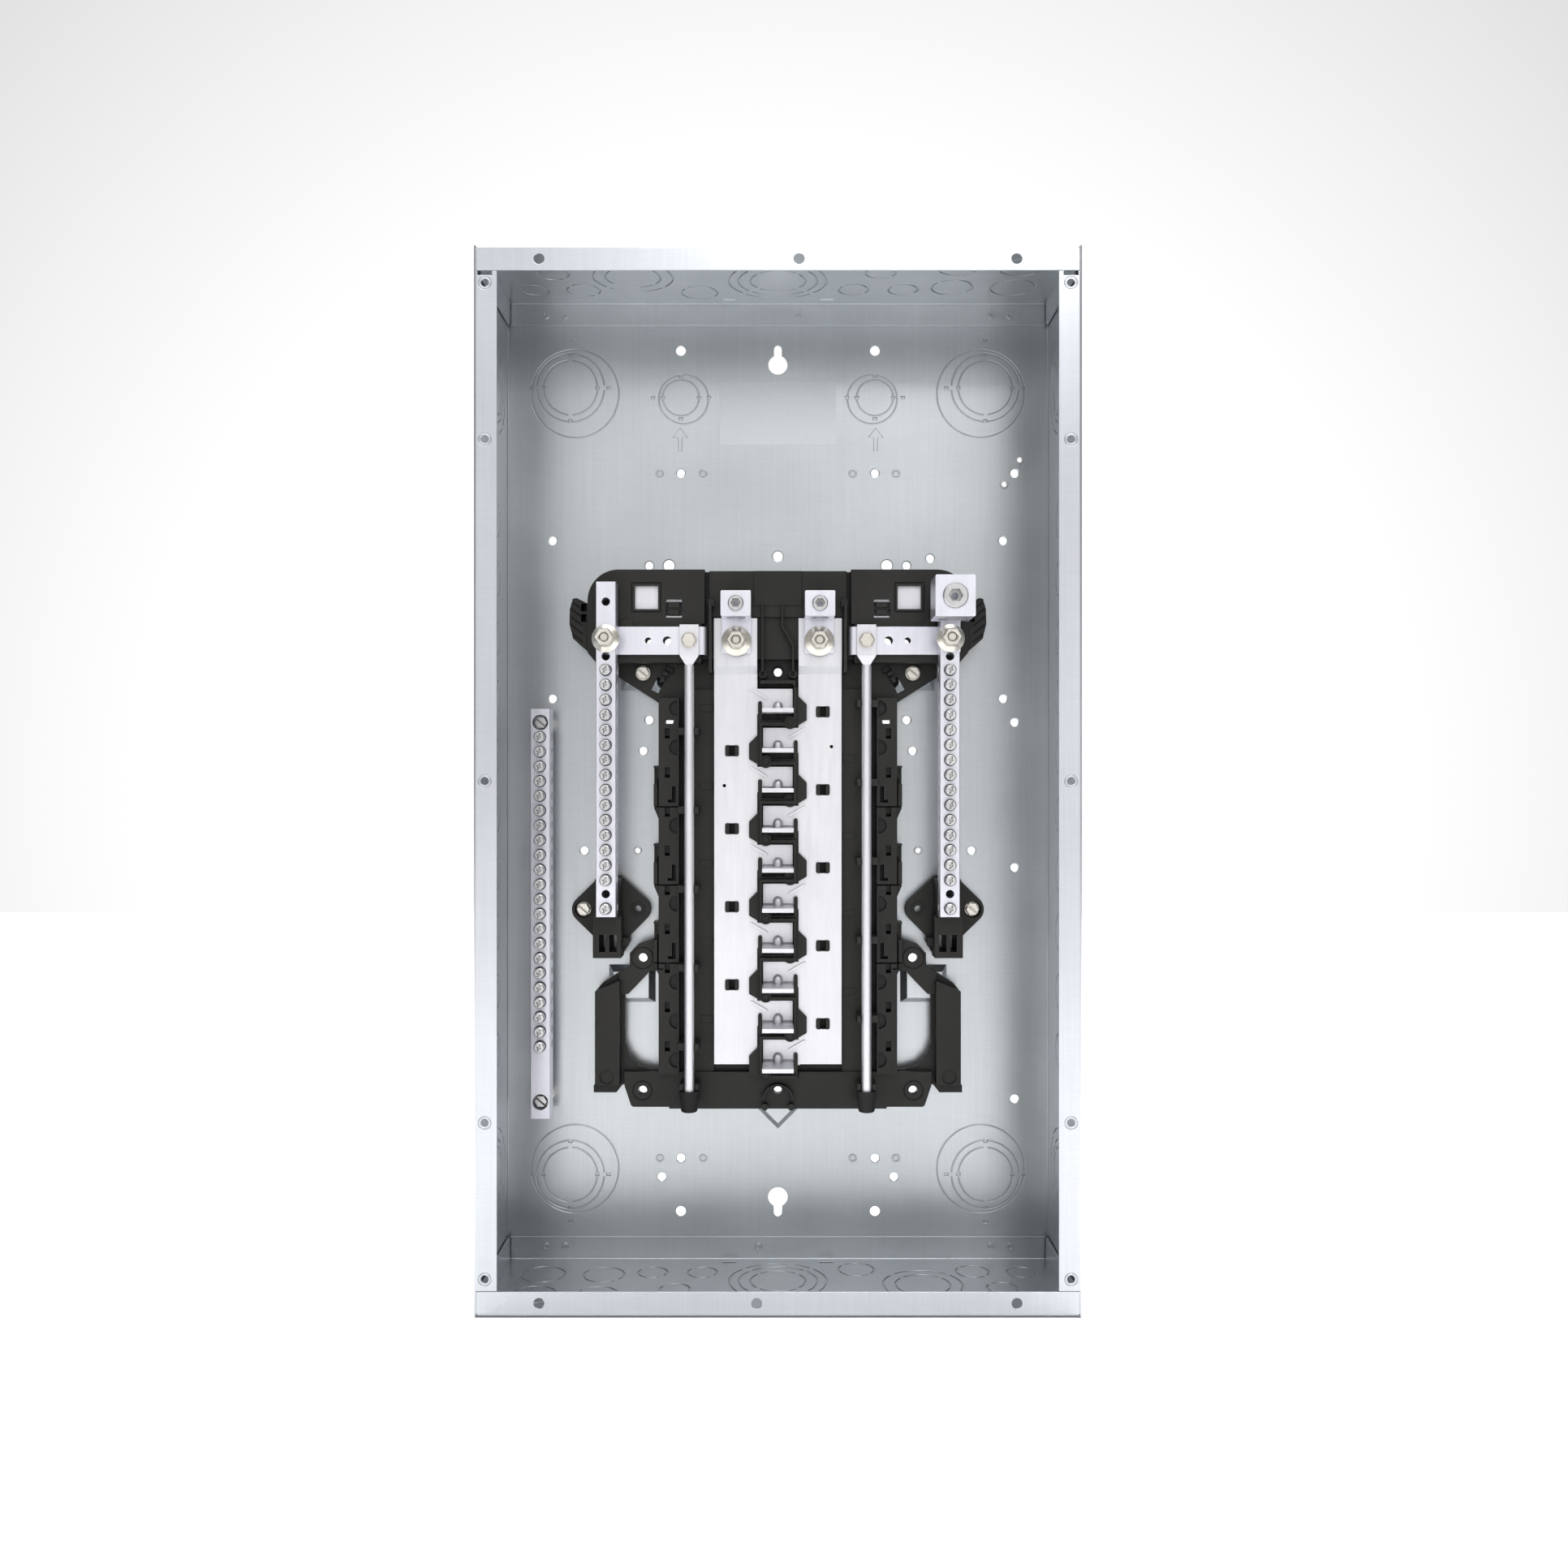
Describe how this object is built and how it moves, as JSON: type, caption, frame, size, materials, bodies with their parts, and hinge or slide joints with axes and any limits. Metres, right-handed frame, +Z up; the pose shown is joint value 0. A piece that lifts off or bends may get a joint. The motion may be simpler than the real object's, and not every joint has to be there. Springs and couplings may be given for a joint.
{
  "type": "electrical subpanel enclosure",
  "caption": "Open steel load-centre box with knockouts, a black moulded interior, two bus bars with alternating stabs, plug-on neutral rails, lugs and terminal bars.",
  "frame": {"origin": "centre of the back's outer face, on the wall", "axes": "+X to the right, +Z up, the open front faces -Y"},
  "size_m": [0.362, 0.0984, 0.637],
  "materials": {
    "galvanised_steel": "galvanised, satin",
    "label": "matte",
    "black_plastic": "satin moulded",
    "rubber": "matte",
    "tin_plate": "tin plated",
    "aluminium": "plated",
    "plated_steel": "nickel plated",
    "zinc_plate": "bright zinc plated"
  },
  "bodies": {
    "enclosure": {"bar_foot_screws": "plated_steel", "blank_label": "label", "bottom_end_wall": "galvanised_steel", "bus_bar_clips": "black_plastic", "enclosure_wrap": "galvanised_steel", "ground_bar": "aluminium", "ground_bar_mounting_screws": "zinc_plate", "ground_bar_standoffs": "plated_steel", "interior_base": "black_plastic", "interior_mounting_screws": "plated_steel", "left_bar_foot": "black_plastic", "left_bus_bar": "tin_plate", "left_cross_strap": "aluminium", "left_grip": "black_plastic", "left_main_lug": "aluminium", "left_main_nut": "plated_steel", "left_main_stud": "plated_steel", "left_neutral_bar": "aluminium", "left_neutral_nut": "plated_steel", "left_neutral_stud": "plated_steel", "left_plug_on_rail": "tin_plate", "left_rail_boot": "rubber", "left_rail_screw": "plated_steel", "left_window_plate": "tin_plate", "neutral_lug": "aluminium", "right_bar_foot": "black_plastic", "right_bus_bar": "tin_plate", "right_cross_strap": "aluminium", "right_grip": "black_plastic", "right_main_lug": "aluminium", "right_main_nut": "plated_steel", "right_main_stud": "plated_steel", "right_neutral_bar": "aluminium", "right_neutral_nut": "plated_steel", "right_neutral_stud": "plated_steel", "right_plug_on_rail": "tin_plate", "right_rail_boot": "rubber", "right_rail_screw": "plated_steel", "right_window_plate": "tin_plate", "stab_barrier": "black_plastic", "top_end_wall": "galvanised_steel"},
    "left_main_lug_screw_body": {"left_main_lug_screw": "zinc_plate"},
    "right_main_lug_screw_body": {"right_main_lug_screw": "zinc_plate"},
    "neutral_lug_screw_body": {"neutral_lug_screw": "zinc_plate"},
    "left_neutral_screws_body": {"left_neutral_screws": "zinc_plate"},
    "right_neutral_screws_body": {"right_neutral_screws": "zinc_plate"},
    "ground_bar_screws_body": {"ground_bar_screws": "zinc_plate"}
  },
  "joints": [
    {"name": "left_main_lug_screw_travel", "type": "slide", "parent": "enclosure", "child": "left_main_lug_screw_body", "axis": [0, 1, 0], "range_m": [0, 0.004]},
    {"name": "right_main_lug_screw_travel", "type": "slide", "parent": "enclosure", "child": "right_main_lug_screw_body", "axis": [0, 1, 0], "range_m": [0, 0.004]},
    {"name": "neutral_lug_screw_travel", "type": "slide", "parent": "enclosure", "child": "neutral_lug_screw_body", "axis": [0, 1, 0], "range_m": [0, 0.005]},
    {"name": "left_neutral_screws_travel", "type": "slide", "parent": "enclosure", "child": "left_neutral_screws_body", "axis": [0, 1, 0], "range_m": [0, 0.0055]},
    {"name": "right_neutral_screws_travel", "type": "slide", "parent": "enclosure", "child": "right_neutral_screws_body", "axis": [0, 1, 0], "range_m": [0, 0.0055]},
    {"name": "ground_bar_screws_travel", "type": "slide", "parent": "enclosure", "child": "ground_bar_screws_body", "axis": [0, 1, 0], "range_m": [0, 0.0055]}
  ]
}
